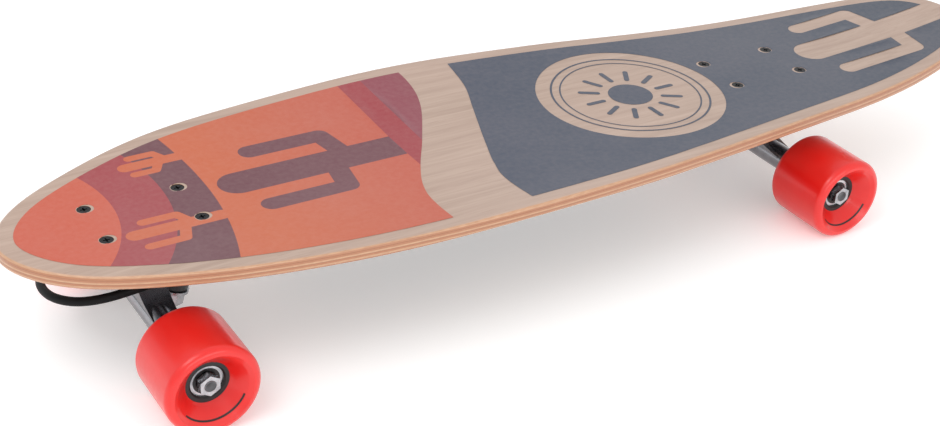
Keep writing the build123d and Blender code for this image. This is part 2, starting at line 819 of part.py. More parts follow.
with BuildPart() as motor_outer_races:
    outer_race(nose_axle_x, motor_end_bearing_y)
    turn_box(nose_axle_x, motor_race_outer - 1.6, motor_race_outer, motor_race_y,
             motor_race_y + motor_race_width)
    groove(nose_axle_x, motor_race_y + motor_race_width / 2, motor_pitch_radius)
save(motor_outer_races, "motor_outer_races")

with BuildPart() as motor_balls:
    ball_ring(nose_axle_x, motor_end_bearing_y + bearing_width / 2, pitch_radius,
              balls_per_bearing)
    ball_ring(nose_axle_x, motor_race_y + motor_race_width / 2, motor_pitch_radius,
              motor_ball_count)
save(motor_balls, "motor_balls")

# ================================================================ electronics box
inner_floor_z = box_floor_z + box_wall
inner_tail_x = box_tail_x + box_wall
inner_nose_x = box_nose_x - box_wall
inner_half_width = box_half_width - box_wall
gland_z = under_z - 12.5
gland_y = 24.0
gland_radius = 6.0
side_z = box_floor_z + 12.0
wall_y = -box_half_width
battery_length = 2 * cell_length + 2.0
battery_x0 = inner_tail_x + 2.0
boards_x0 = battery_x0 + battery_length + 4.0
boards_length = inner_nose_x - boards_x0
bms_length = 0.36 * boards_length
controller_length = 0.50 * boards_length
bms_x = boards_x0 + bms_length / 2
controller_x = boards_x0 + bms_length + 5.0 + controller_length / 2
board_width = 2 * inner_half_width - 16.0
board_thickness = 1.6
board_z = inner_floor_z + 3.0
post_radius = 2.5
button_x = controller_x
port_x = bms_x
bezel_radius = button_radius + 3.0
bezel_depth = 1.5
port_face = 1.0
port_depth = 11.0
socket_radius = 3.4
cap_radius = 7.5
cap_thickness = 2.0
cap_lift = 0.2
cap_pin_out = 2.7
cap_pin_side = 11.5
knuckle_radius = 2.1
knuckle_half = 3.0
lug_height = 2.2
port_axis = Plane((port_x, wall_y, side_z), x_dir=(1, 0, 0), z_dir=(0, -1, 0))
button_axis = Plane((button_x, wall_y, side_z), x_dir=(1, 0, 0), z_dir=(0, -1, 0))
cap_pin = (port_x - cap_pin_side, wall_y - cap_pin_out)
board_posts = [
    (x + share * length / 2, side * (board_width / 2 - 4))
    for x, length in ((bms_x, bms_length), (controller_x, controller_length))
    for share in (-0.8, 0.8)
    for side in (-1, 1)
]

with BuildPart() as enclosure:
    with BuildSketch(Plane.XY.offset(box_floor_z)):
        with Locations((box_mid_x, 0)):
            RectangleRounded(box_length, 2 * box_half_width, 9)
    extrude(amount=box_depth + concave_rise)
    fillet(enclosure.edges().group_by(Axis.Z)[0], 3.5)
    with BuildSketch(Plane.XY.offset(under_z - box_flange_thickness)):
        with Locations((box_mid_x, 0)):
            RectangleRounded(
                box_length, 2 * (box_half_width + box_flange), 12,
            )
    extrude(amount=box_flange_thickness + concave_rise)
    with BuildSketch(Plane.XY.offset(inner_floor_z)):
        with Locations((box_mid_x, 0)):
            RectangleRounded(box_length - 2 * box_wall, 2 * inner_half_width, 6)
    extrude(amount=box_depth + concave_rise, mode=Mode.SUBTRACT)
    with BuildSketch(button_axis):
        Circle(bezel_radius)
    extrude(amount=bezel_depth)
    with BuildSketch(button_axis):
        Circle(button_radius + running_gap)
    extrude(amount=2 * box_wall, both=True, mode=Mode.SUBTRACT)
    with BuildSketch(port_axis):
        Circle(port_radius)
    extrude(amount=2 * box_wall, both=True, mode=Mode.SUBTRACT)
    with Locations(*[(x, y, (inner_floor_z + board_z) / 2) for x, y in board_posts]):
        Cylinder(post_radius, board_z - inner_floor_z)
    for level in (knuckle_half + running_gap, -knuckle_half - running_gap - lug_height):
        lug_z = side_z + level
        with BuildSketch(Plane.XY.offset(lug_z)):
            with Locations(cap_pin):
                Circle(knuckle_radius)
            with Locations((cap_pin[0], wall_y - cap_pin_out / 2 + 0.5)):
                Rectangle(2 * knuckle_radius, cap_pin_out + 1)
        extrude(amount=lug_height)
    with Locations((*cap_pin, side_z)):
        Cylinder(cap_pin_radius, 2 * (knuckle_half + running_gap + lug_height))
    with BuildSketch(Plane((box_nose_x + 1, gland_y, gland_z), z_dir=(-1, 0, 0))):
        Circle(gland_radius)
    extrude(amount=2 * box_wall, mode=Mode.SUBTRACT)
    with Locations(*[(x, y, under_z) for x, y in box_screw_spots]):
        Cylinder(box_screw_radius + 0.2, 4 * box_flange_thickness, mode=Mode.SUBTRACT)
    with BuildSketch(Plane.XY.offset(box_floor_z - rib_height)):
        with Locations((box_mid_x, 0)):
            with GridLocations(1, rib_pitch, 1, rib_count):
                SlotOverall(rib_length, rib_width)
    extrude(amount=rib_height + box_wall / 2)
    add(deck.part, mode=Mode.SUBTRACT)
save(enclosure, "enclosure")

with BuildPart() as enclosure_screws:
    box_head_radius = 3.4
    box_head_height = 2.0
    head_z = under_z - box_flange_thickness
    with Locations(*[(x, y, head_z - box_head_height / 2) for x, y in box_screw_spots]):
        Cylinder(box_head_radius, box_head_height)
        Box(3.6, 0.9, box_head_height + 1, mode=Mode.SUBTRACT)
        Box(0.9, 3.6, box_head_height + 1, mode=Mode.SUBTRACT)
    reach = box_flange_thickness + box_screw_bite - 0.5
    with Locations(*[(x, y, head_z - 0.9 + (reach + 0.9) / 2) for x, y in box_screw_spots]):
        Cylinder(box_screw_radius, reach + 0.9)
save(enclosure_screws, "enclosure_screws")

with BuildPart() as battery_cells:
    cell_pitch = 2 * cell_radius + cell_gap
    cell_z = inner_floor_z + cell_radius + cell_lift
    for row in (0, 1):
        cell_mid_x = battery_x0 + cell_length / 2 + row * (cell_length + 2.0)
        with Locations(Plane((cell_mid_x, 0, cell_z), x_dir=(0, 1, 0), z_dir=(1, 0, 0))):
            with GridLocations(cell_pitch, 1, cells_across, 1):
                Cylinder(cell_radius, cell_length)
    chamfer(battery_cells.edges().filter_by(GeomType.CIRCLE), 0.8)
save(battery_cells, "battery_cells")

with BuildPart() as bms_board:
    with Locations((bms_x, 0, board_z + board_thickness / 2)):
        Box(bms_length, board_width, board_thickness)
    with Locations((bms_x, 0, board_z + board_thickness + 1.2)):
        with GridLocations(0.28 * bms_length, board_width / 7, 3, 6):
            Box(0.2 * bms_length, 6.5, 2.4)
    with Locations((bms_x, board_width / 2 - 5, board_z + board_thickness + 3.5)):
        Box(0.6 * bms_length, 7, 7)
save(bms_board, "bms_board")

with BuildPart() as controller_board:
    with Locations((controller_x, 0, board_z + board_thickness / 2)):
        Box(controller_length, board_width, board_thickness)
    with Locations((controller_x, -12, board_z + board_thickness + 1.5)):
        with GridLocations(0.2 * controller_length, 12, 3, 2):
            Box(0.13 * controller_length, 9, 3)
    with Locations((controller_x - 0.3 * controller_length, 22, board_z + board_thickness + 5.5)):
        with GridLocations(1, 13, 1, 3):
            Cylinder(5, 11)
    with Locations((controller_x + 0.05 * controller_length, 24, board_z + board_thickness + 2)):
        Box(0.3 * controller_length, 24, 4)
save(controller_board, "controller_board")

with BuildPart() as power_button:
    with BuildSketch(button_axis.offset(-box_wall - 1.1)):
        Circle(button_radius + 1.2)
    extrude(amount=1.0)
    with BuildSketch(button_axis.offset(-box_wall - 1.1)):
        Circle(button_radius)
    extrude(amount=box_wall + 1.1 + bezel_depth + button_travel + 0.3)
    fillet(power_button.faces().sort_by(Axis.Y)[0].edges(), 0.6)
save(power_button, "power_button")

with BuildPart() as charge_port:
    with BuildSketch(port_axis.offset(port_face - port_depth)):
        Circle(port_radius)
    extrude(amount=port_depth)
    with BuildSketch(port_axis):
        Circle(port_radius + 1.6)
    extrude(amount=port_face)
    with BuildSketch(port_axis.offset(port_face)):
        Circle(socket_radius)
    extrude(amount=1.5 - port_depth, mode=Mode.SUBTRACT)
    with BuildSketch(port_axis.offset(port_face - port_depth + 1)):
        Circle(0.9)
    extrude(amount=3.5)
save(charge_port, "charge_port")

with BuildPart() as port_cap:
    with BuildSketch(port_axis.offset(port_face + cap_lift)):
        Circle(cap_radius)
        with Locations((-cap_pin_side / 2, 0)):
            Rectangle(cap_pin_side, 2 * knuckle_half)
    extrude(amount=cap_thickness)
    with Locations((*cap_pin, side_z)):
        Cylinder(knuckle_radius, 2 * knuckle_half)
        Cylinder(cap_pin_radius + pin_gap, 3 * knuckle_half, mode=Mode.SUBTRACT)
save(port_cap, "port_cap")

with BuildPart() as cable_gland:
    with BuildSketch(Plane((box_nose_x - box_wall - 3, gland_y, gland_z), z_dir=(1, 0, 0))):
        Circle(gland_radius)
    extrude(amount=box_wall + 11)
    with BuildSketch(Plane((box_nose_x, gland_y, gland_z), z_dir=(1, 0, 0))):
        RegularPolygon(gland_radius + 1.8, 6)
    extrude(amount=5)
    with BuildSketch(Plane((box_nose_x - box_wall, gland_y, gland_z), z_dir=(-1, 0, 0))):
        RegularPolygon(gland_radius + 1.8, 6)
    extrude(amount=3)
    with BuildSketch(Plane((box_nose_x - 20, gland_y, gland_z), z_dir=(1, 0, 0))):
        Circle(cable_radius)
    extrude(amount=60, mode=Mode.SUBTRACT)
save(cable_gland, "cable_gland")

# ================================================================ motor cable
cable_high = axle_z + 26.6
cable_stop_x = box_nose_x - 6.0
route = [
    (nose_axle_x + 3.0, port_y, axle_z),
    (nose_axle_x + 33.0, port_y, axle_z),
    (nose_axle_x + 60.0, -34.0, axle_z + 11.0),
    (nose_axle_x + 65.0, 8.0, cable_high - 6.0),
    (nose_axle_x + 46.0, 32.5, cable_high - 1.0),
    (nose_axle_x + 4.0, 31.5, cable_high + 1.0),
    (nose_axle_x - 36.0, 33.0, gland_z - 4.0),
    (box_nose_x + 26.0, gland_y, gland_z),
    (cable_stop_x, gland_y, gland_z),
]


def bend_radii(points):
    radii = []
    for before, corner, after in zip(points, points[1:], points[2:]):
        first = Vector(*corner) - Vector(*before)
        second = Vector(*after) - Vector(*corner)
        angle = radians(first.get_angle(second))
        radii.append(0.45 * min(first.length, second.length) / tan(angle / 2))
    return radii


cable_bends = bend_radii(route)
with BuildPart() as motor_cable:
    with BuildLine() as cable_path:
        FilletPolyline(*route, radius=cable_bends)
    with BuildSketch(cable_path.line ^ 0):
        Circle(cable_radius)
    sweep()
save(motor_cable, "motor_cable")
cable_length = cable_path.wires()[0].length
print("cable length", round(cable_length, 1), "bends", [round(r, 1) for r in cable_bends])
print("cable volume ratio", motor_cable.part.volume / (pi * cable_radius**2 * cable_length))
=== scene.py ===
"""The looks of a cruiser skateboard with a hub motor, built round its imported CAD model."""

from math import atan2, ceil, cos, hypot, pi, radians, sin

import bpy
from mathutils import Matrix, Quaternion, Vector, geometry
from mathutils.bvhtree import BVHTree


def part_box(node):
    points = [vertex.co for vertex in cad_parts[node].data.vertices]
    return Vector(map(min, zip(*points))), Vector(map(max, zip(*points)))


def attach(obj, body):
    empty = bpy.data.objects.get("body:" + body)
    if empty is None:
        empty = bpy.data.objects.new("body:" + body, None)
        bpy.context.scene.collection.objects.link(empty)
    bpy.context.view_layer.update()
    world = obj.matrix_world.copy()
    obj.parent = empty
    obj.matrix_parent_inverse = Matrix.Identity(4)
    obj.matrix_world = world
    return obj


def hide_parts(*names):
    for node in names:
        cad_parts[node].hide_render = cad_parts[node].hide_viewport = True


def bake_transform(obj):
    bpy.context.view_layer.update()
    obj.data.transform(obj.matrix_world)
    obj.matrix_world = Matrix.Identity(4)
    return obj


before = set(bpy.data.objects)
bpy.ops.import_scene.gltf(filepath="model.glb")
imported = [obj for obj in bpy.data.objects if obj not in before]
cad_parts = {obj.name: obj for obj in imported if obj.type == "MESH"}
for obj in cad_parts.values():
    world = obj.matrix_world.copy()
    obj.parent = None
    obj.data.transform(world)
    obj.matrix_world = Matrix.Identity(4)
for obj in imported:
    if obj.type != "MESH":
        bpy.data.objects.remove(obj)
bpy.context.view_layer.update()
MM = 0.001


# ================================================================ places, from the frame
def centre(node):
    low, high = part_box(node)
    return (Vector(low) + Vector(high)) / 2


deck_low, deck_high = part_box("deck")
half_length = (deck_high[0] - deck_low[0]) / 2
half_width = (deck_high[1] - deck_low[1]) / 2
under_z = deck_low[2]
deck_thickness = 10 * MM
nose_axle = centre("nose_axle_nut")
tail_axle = centre("tail_axle_nuts")
nose_truck_x = centre("nose_baseplate").x
tail_truck_x = centre("tail_baseplate").x
axle_z = nose_axle.z
wheel_face_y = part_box("nose_left_tyre")[1][1]
box_nose_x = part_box("enclosure")[1][0]
gland_low, gland_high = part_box("cable_gland")


# ================================================================ camera
def make_camera():
    """Above the rider's left, ahead of the nose, looking back along the board."""
    data = bpy.data.cameras.new("camera")
    data.sensor_width = 36
    data.lens = 59.955
    data.clip_start = 0.01
    camera = bpy.data.objects.new("camera", data)
    bpy.context.collection.objects.link(camera)
    camera.location = (602.6 * MM, 829.2 * MM, 609.1 * MM)
    looks_at = Vector((124.1, 93.5, 92.0)) * MM
    level = (looks_at - camera.location).to_track_quat("-Z", "Y")
    camera.rotation_mode = "QUATERNION"
    camera.rotation_quaternion = level @ Quaternion((0, 0, 1), radians(3.306))
    bpy.context.scene.camera = camera


make_camera()


# ================================================================ mesh helpers
def add_mesh(name, verts, faces, materials, body, smooth=True):
    mesh = bpy.data.meshes.new(name)
    mesh.from_pydata([tuple(v) for v in verts], [], faces)
    mesh.validate()
    for m in materials:
        mesh.materials.append(m)
    for polygon in mesh.polygons:
        polygon.use_smooth = smooth
    obj = bpy.data.objects.new(name, mesh)
    bpy.context.collection.objects.link(obj)
    if body:
        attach(obj, body)
    return obj


def tube(path, radius, sides):
    """Rings carried along a path without twist, closed at both ends."""
    verts, faces = [], []
    side = (path[1] - path[0]).orthogonal().normalized()
    for i, point in enumerate(path):
        ahead = path[min(i + 1, len(path) - 1)] - path[max(i - 1, 0)]
        ahead.normalize()
        side = (side - ahead * side.dot(ahead)).normalized()
        up = ahead.cross(side)
        for k in range(sides):
            a = 2 * pi * k / sides
            verts.append(point + (side * cos(a) + up * sin(a)) * radius)
    for i in range(len(path) - 1):
        for k in range(sides):
            n = (k + 1) % sides
            faces.append((i * sides + k, i * sides + n, (i + 1) * sides + n, (i + 1) * sides + k))
    faces.append(tuple(reversed(range(sides))))
    faces.append(tuple((len(path) - 1) * sides + k for k in range(sides)))
    return verts, faces


# ================================================================ material helpers
def srgb(*values):
    """A colour of 0 to 255 screen values as linear light."""
    linear = []
    for value in values:
        v = value / 255
        linear.append(v / 12.92 if v <= 0.04045 else ((v + 0.055) / 1.055) ** 2.4)
    return (*linear, 1)


class Shader:
    """A material with short calls for the nodes that it is made of."""

    def __init__(self, name, **sockets):
        self.material = bpy.data.materials.new(name)
        self.material.use_nodes = True
        self.tree = self.material.node_tree
        self.surface = self.tree.nodes["Principled BSDF"]
        self.set(**sockets)

    def set(self, **sockets):
        for name, value in sockets.items():
            self.surface.inputs[name.replace("_", " ").title()].default_value = value

    def node(self, kind, **settings):
        made = self.tree.nodes.new("ShaderNode" + kind)
        for name, value in settings.items():
            setattr(made, name, value)
        return made

    def link(self, source, target):
        self.tree.links.new(source, target)

    def place(self, scale=(1, 1, 1), kind="Object"):
        """Where on the object, in metres, stretched by scale."""
        mapping = self.node("Mapping")
        mapping.inputs["Scale"].default_value = scale
        self.link(self.node("TexCoord").outputs[kind], mapping.inputs["Vector"])
        return mapping.outputs["Vector"]

    def noise(self, scale, stretch=(1, 1, 1), detail=3.0, roughness=0.5, distortion=0.0):
        made = self.node("TexNoise")
        made.inputs["Scale"].default_value = scale
        made.inputs["Detail"].default_value = detail
        made.inputs["Roughness"].default_value = roughness
        made.inputs["Distortion"].default_value = distortion
        self.link(self.place(stretch), made.inputs["Vector"])
        return made.outputs["Fac"]

    def axis(self, which, kind="Object"):
        split = self.node("SeparateXYZ")
        self.link(self.place(kind=kind), split.inputs[0])
        return split.outputs[which]

    def math(self, operation, a, b=0.0, c=0.0, clamp=False):
        made = self.node("Math", operation=operation, use_clamp=clamp)
        for socket, value in zip(made.inputs, (a, b, c)):
            if isinstance(value, (int, float)):
                socket.default_value = value
            else:
                self.link(value, socket)
        return made.outputs[0]

    def span(self, value, low, high, to_low=0.0, to_high=1.0):
        """value from low..high mapped to to_low..to_high, and held past the ends."""
        made = self.node("MapRange", clamp=True)
        self.link(value, made.inputs["Value"])
        for name, number in (
            ("From Min", low), ("From Max", high), ("To Min", to_low), ("To Max", to_high),
        ):
            made.inputs[name].default_value = number
        return made.outputs["Result"]

    def ramp(self, value, stops, interpolation="LINEAR"):
        made = self.node("ValToRGB")
        band = made.color_ramp
        band.interpolation = interpolation
        while len(band.elements) > 1:
            band.elements.remove(band.elements[-1])
        band.elements[0].position = stops[0][0]
        band.elements[0].color = stops[0][1]
        for position, colour in stops[1:]:
            band.elements.new(position).color = colour
        self.link(value, made.inputs["Fac"])
        return made.outputs["Color"]

    def mix(self, share, a, b, blend="MIX"):
        made = self.node("Mix", data_type="RGBA", blend_type=blend)
        for socket, value in ((made.inputs[0], share), (made.inputs[6], a), (made.inputs[7], b)):
            if isinstance(value, (int, float, tuple)):
                socket.default_value = value
            else:
                self.link(value, socket)
        return made.outputs[2]

    def colour(self, value):
        self.link(value, self.surface.inputs["Base Color"])

    def rough(self, value, low, high):
        self.link(self.span(value, 0, 1, low, high), self.surface.inputs["Roughness"])

    def bump(self, height, distance, strength=1.0, below=None):
        made = self.node("Bump")
        made.inputs["Distance"].default_value = distance
        made.inputs["Strength"].default_value = strength
        self.link(height, made.inputs["Height"])
        if below:
            self.link(below, made.inputs["Normal"])
        self.link(made.outputs["Normal"], self.surface.inputs["Normal"])
        return made.outputs["Normal"]


def dress(material, *nodes):
    """Gives CAD nodes a material."""
    for name in nodes:
        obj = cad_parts[name]
        if not obj.material_slots:
            obj.data.materials.append(None)
        for slot in obj.material_slots:
            slot.link = "OBJECT"
            slot.material = material


# ================================================================ wood
tail_kick_start = tail_truck_x - 27.3 * MM
tail_kick_radius = 1.19
concave_rise = 5.6 * MM
highest_share = 1.05
# Part of the full concave along the board, from the tail's tip (0) to the nose's (1).
concave_shares = [
    (0.00, 0.02), (0.22, 0.02), (0.277, 0.12), (0.35, 0.46), (0.425, 0.80), (0.50, 0.98),
    (0.685, 1.00), (0.83, 1.05), (0.8875, 0.85), (0.9425, 0.15), (1.0, 0.02),
]


def ply_height(s):
    """Height through the deck, 0 at its underside and 1 at its top, following its curves."""
    x, y, z = s.axis("X"), s.axis("Y"), s.axis("Z")
    run = s.math("MAXIMUM", s.math("SUBTRACT", tail_kick_start, x), 0.0)
    kick = s.math("DIVIDE", s.math("MULTIPLY", run, run), 2 * tail_kick_radius)
    along = s.span(x, -half_length, half_length)
    grey = [(at, (share / highest_share,) * 3 + (1,)) for at, share in concave_shares]
    share = s.math("MULTIPLY", s.ramp(along, grey), highest_share * concave_rise / half_width**2)
    rise = s.math("MULTIPLY", share, s.math("MULTIPLY", y, y))
    local = s.math("SUBTRACT", s.math("SUBTRACT", z, under_z), s.math("ADD", kick, rise))
    return s.math("DIVIDE", local, deck_thickness)


def make_wood():
    s = Shader("lacquered_maple", coat_weight=0.25, coat_roughness=0.18)
    face_light, face_dark = srgb(184, 160, 144), srgb(160, 134, 118)
    grain = s.noise(55, (0.16, 3.2, 3.2), detail=6, roughness=0.62, distortion=0.6)
    flecks = s.noise(900, (0.05, 1, 1), detail=2)
    figure = s.noise(9, (0.5, 1.2, 1), detail=2)
    face = s.ramp(grain, [(0.30, face_dark), (0.52, srgb(173, 148, 132)), (0.72, face_light)])
    face = s.mix(s.span(flecks, 0.62, 0.75, 0.0, 0.45), face, srgb(142, 114, 96))
    face = s.mix(s.span(figure, 0.35, 0.7, 0.0, 0.35), face, srgb(186, 158, 144))
    warm, pale, line = srgb(172, 118, 86), srgb(196, 154, 122), srgb(132, 84, 58)
    plies = s.ramp(
        ply_height(s),
        [
            (0.00, warm), (0.13, warm), (0.15, pale), (0.27, pale), (0.29, warm), (0.40, warm),
            (0.43, line), (0.46, pale), (0.56, pale), (0.58, warm), (0.69, warm),
            (0.72, line), (0.75, warm), (0.84, warm), (0.87, pale),
        ],
    )
    end_grain = s.noise(1400, (0.12, 0.12, 1), detail=3, roughness=0.7)
    plies = s.mix(s.span(end_grain, 0.35, 0.7, 0.0, 0.5), plies, srgb(158, 106, 76))
    normal = s.node("SeparateXYZ")
    s.link(s.node("NewGeometry").outputs["Normal"], normal.inputs[0])
    upright = s.math("ABSOLUTE", normal.outputs["Z"])
    s.colour(s.mix(s.span(upright, 0.80, 0.93), plies, face))
    s.rough(grain, 0.30, 0.46)
    beads = s.math("MULTIPLY", s.noise(620, detail=2), s.span(upright, 0.55, 0.97, 1.0, 0.0))
    fine = s.bump(grain, 0.00006, 0.5)
    s.bump(beads, 0.0005, 0.5, below=fine)
    return s.material


def make_print(name, start, end, low_x, high_x):
    """Screen-printed ink on the deck that goes from one colour to the other along x."""
    s = Shader(name, coat_weight=0.12, coat_roughness=0.2)
    s.surface.inputs["Specular IOR Level"].default_value = 0.25
    share = s.span(s.axis("X"), low_x * MM, high_x * MM)
    mottle = s.noise(260, detail=4, roughness=0.6)
    cloud = s.noise(11, detail=2)
    ink = s.mix(share, start, end)
    ink = s.mix(s.span(mottle, 0.3, 0.75, 0.0, 0.06), ink, srgb(225, 205, 195))
    ink = s.mix(s.span(cloud, 0.4, 0.75, 0.0, 0.06), ink, srgb(175, 160, 160))
    s.colour(ink)
    s.rough(mottle, 0.30, 0.44)
    wrinkle = s.bump(s.noise(38, (1, 2.2, 1), detail=2), 0.00035, 0.35)
    s.bump(mottle, 0.00004, 0.5, below=wrinkle)
    return s.material


wood = make_wood()
dress(wood, "deck")

# ================================================================ the deck's print
deck_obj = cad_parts["deck"]
deck_tree = BVHTree.FromPolygons(
    [v.co.copy() for v in deck_obj.data.vertices],
    [tuple(p.vertices) for p in deck_obj.data.polygons],
)
sky = 0.4  # a height above the whole board, in metres


def deck_top(x, y):
    """The height of the deck's top at x, y in metres, or None off the board."""
    hit = deck_tree.ray_cast(Vector((x, y, sky)), Vector((0, 0, -1)))[0]
    return hit.z if hit else None


def deck_edge(x):
    """How far the board reaches to the side at x, found by halving."""
    on_board, off_board = 0.0, half_width + 5 * MM
    if deck_top(x, on_board) is None:
        return 0.0
    for _ in range(18):
        middle = (on_board + off_board) / 2
        if deck_top(x, middle) is None:
            off_board = middle
        else:
            on_board = middle
    return on_board


def circle(x, y, radius, points=72):
    return [
        (x + radius * cos(2 * pi * k / points), y + radius * sin(2 * pi * k / points))
        for k in range(points)
    ]


def capsule(a, b, radius, points=14):
    """A straight bar with round ends, as a closed loop."""
    turn = atan2(b[1] - a[1], b[0] - a[0])
    loop = []
    for end, start in ((b, turn - pi / 2), (a, turn + pi / 2)):
        for k in range(points + 1):
            angle = start + pi * k / points
            loop.append((end[0] + radius * cos(angle), end[1] + radius * sin(angle)))
    return loop


def smooth_curve(points, steps=10):
    """A Catmull-Rom curve through the points."""
    padded = [points[0], *points, points[-1]]
    curve = []
    for p0, p1, p2, p3 in zip(padded, padded[1:], padded[2:], padded[3:]):
        for k in range(steps):
            t = k / steps
            curve.append(tuple(
                0.5 * (2 * b + (c - a) * t + (2 * a - 5 * b + 4 * c - d) * t**2
                       + (3 * b - a - 3 * c + d) * t**3)
                for a, b, c, d in zip(p0, p1, p2, p3)
            ))
    return curve + [points[-1]]


def inside(x, y, loop):
    crossings = False
    x1, y1 = loop[-1]
    for x2, y2 in loop:
        if (y1 > y) != (y2 > y) and x < (x2 - x1) * (y - y1) / (y2 - y1) + x1:
            crossings = not crossings
        x1, y1 = x2, y2
    return crossings


def cactus(tip_x, base_x, y, half, arm_half, arms):
    """Round-ended bars: a trunk along x and bent arms of (y, tip_x, elbow_x)."""
    bars = [capsule((tip_x - half, y), (base_x, y), half)]
    for arm_y, arm_tip, elbow_x in arms:
        bars.append(capsule((arm_tip - arm_half, arm_y), (elbow_x, arm_y), arm_half))
        bars.append(capsule((elbow_x, arm_y), (elbow_x - 6, y), arm_half))
    return bars


# All of the print is in millimetres, on the plan of the deck.
border_width = 12.0
ink_lift = 0.15 * MM
grid_step = 7.0
bolt_pitch = (63.5, 41.3)
bolt_ring = 5.2
reach = 130.0


def border_loop():
    """The deck's outline drawn in by the width of the bare border."""
    stations = 90
    edge = []
    for k in range(1, stations):
        x = half_length * cos(pi * k / stations)
        edge.append((x / MM, deck_edge(x) / MM))
    tip = (half_length / MM, 0.0)
    back = (-half_length / MM, 0.0)
    ring = [tip, *edge, back, *[(x, -y) for x, y in reversed(edge)]]
    drawn = []
    for i, (x, y) in enumerate(ring):
        before, after = ring[i - 1], ring[(i + 1) % len(ring)]
        dx, dy = after[0] - before[0], after[1] - before[1]
        size = hypot(dx, dy)
        drawn.append((x + border_width * -dy / size, y + border_width * dx / size))
    if not inside(0, 0, drawn) or hypot(drawn[0][0] - tip[0], drawn[0][1]) > 2 * border_width:
        raise ValueError("the print's border is wrong")
    if drawn[0][0] > tip[0]:
        drawn = [(2 * x - dx, 2 * y - dy) for (x, y), (dx, dy) in zip(ring, drawn)]
    return drawn


sunset_edge = smooth_curve([
    (72, -reach), (69, -88), (77, -54), (100, -11), (122, 25), (135, 52), (140, 78), (141, reach),
])
sea_edge = smooth_curve([
    (23, -reach), (27, -100), (32, -66), (44, -34), (64, 16), (75, 45), (81, 72), (80, reach),
])
sunset_field = sunset_edge + [(half_length / MM + 20, reach), (half_length / MM + 20, -reach)]
sea_field = sea_edge + [(-half_length / MM - 20, reach), (-half_length / MM - 20, -reach)]
sun_disc = circle(433, -19, 107, 150)
glow_disc = circle(440, -25, 150, 180)
dusk_disc = circle(562, -22, 300, 260)
big_cactus = cactus(256, 121, -8.5, 13.7, 7.6, [(-43.5, 226, 165), (26.3, 241, 178)])
far_cactus = cactus(307, 262, -57.5, 4.8, 3.2, [(-67.5, 299, 279), (-47.0, 302, 284)])
near_cactus = cactus(332, 268, 24.5, 6.0, 3.7, [(11.5, 320, 294), (41.0, 326, 299)])
tail_cactus = cactus(-243, -430, -1, 14.5, 7.5, [(-39.0, -268, -328), (36.0, -256, -334)])
rose_band_x, dark_band_x = 121.0, 102.0
badge = (-76, -2)
badge_disc = circle(*badge, 72, 110)
badge_rings = [circle(*badge, r, 100) for r in (61.0, 59.4, 54.0, 52.8)]
badge_sun = circle(*badge, 17)
ray_count, ray_start, ray_end, ray_half = 12, 25, 38, 2.0
badge_rays = []
for k in range(ray_count):
    across, up = cos(2 * pi * k / ray_count), sin(2 * pi * k / ray_count)
    badge_rays.append(capsule(
        (badge[0] + ray_start * across, badge[1] + ray_start * up),
        (badge[0] + ray_end * across, badge[1] + ray_end * up),
        ray_half, 8,
    ))
bolt_spots = [
    (truck_x / MM + sx * bolt_pitch[0] / 2, sy * bolt_pitch[1] / 2)
    for truck_x in (nose_truck_x, tail_truck_x)
    for sx in (-1, 1)
    for sy in (-1, 1)
]
bolt_rings = [circle(x, y, bolt_ring, 32) for x, y in bolt_spots]
# Rings of points round each bolt, so that the ink follows the wood there.
bolt_surrounds = [circle(x, y, radius, 20) for x, y in bolt_spots for radius in (6.5, 8.5, 11.0)]
border = border_loop()


def within(x, y, loops):
    return any(inside(x, y, loop) for loop in loops)


def badge_ink(x, y):
    """Blue lines and a plain sun on the bare disc."""
    outer, outer_in, inner, inner_in = badge_rings
    if inside(x, y, outer) and not inside(x, y, outer_in):
        return "slate_ink"
    if inside(x, y, inner) and not inside(x, y, inner_in):
        return "slate_ink"
    if inside(x, y, badge_sun) or within(x, y, badge_rays):
        return "slate_ink"
    return None


def sunset_ink(x, y):
    if within(x, y, big_cactus) and x > rose_band_x:
        return "plum_ink"
    if inside(x, y, sun_disc):
        return "sun_ink"
    if within(x, y, far_cactus) or within(x, y, near_cactus):
        return "amber_ink"
    if inside(x, y, glow_disc):
        return "rose_ink"
    if inside(x, y, dusk_disc):
        return "plum_ink"
    if x < dark_band_x:
        return "mauve_ink"
    if x < rose_band_x:
        return "rose_ink"
    return "amber_ink"


def ink_at(x, y):
    if not inside(x, y, border) or within(x, y, bolt_rings):
        return None
    if inside(x, y, sunset_field):
        return sunset_ink(x, y)
    if inside(x, y, sea_field):
        if inside(x, y, badge_disc):
            return badge_ink(x, y)
        if within(x, y, tail_cactus):
            return None
        return "slate_ink"
    return None


def make_inks():
    return {
        "amber_ink": make_print("amber_ink", srgb(182, 84, 66), srgb(190, 95, 60), 110, 250),
        "sun_ink": make_print("sun_ink", srgb(190, 86, 64), srgb(192, 84, 60), 320, 400),
        "rose_ink": make_print("rose_ink", srgb(150, 50, 58), srgb(152, 60, 66), 100, 330),
        "mauve_ink": make_print("mauve_ink", srgb(132, 56, 70), srgb(136, 60, 74), 70, 110),
        "plum_ink": make_print("plum_ink", srgb(104, 58, 68), srgb(100, 56, 66), 120, 300),
        "slate_ink": make_print("slate_ink", srgb(66, 74, 88), srgb(60, 68, 86), -380, 70),
    }


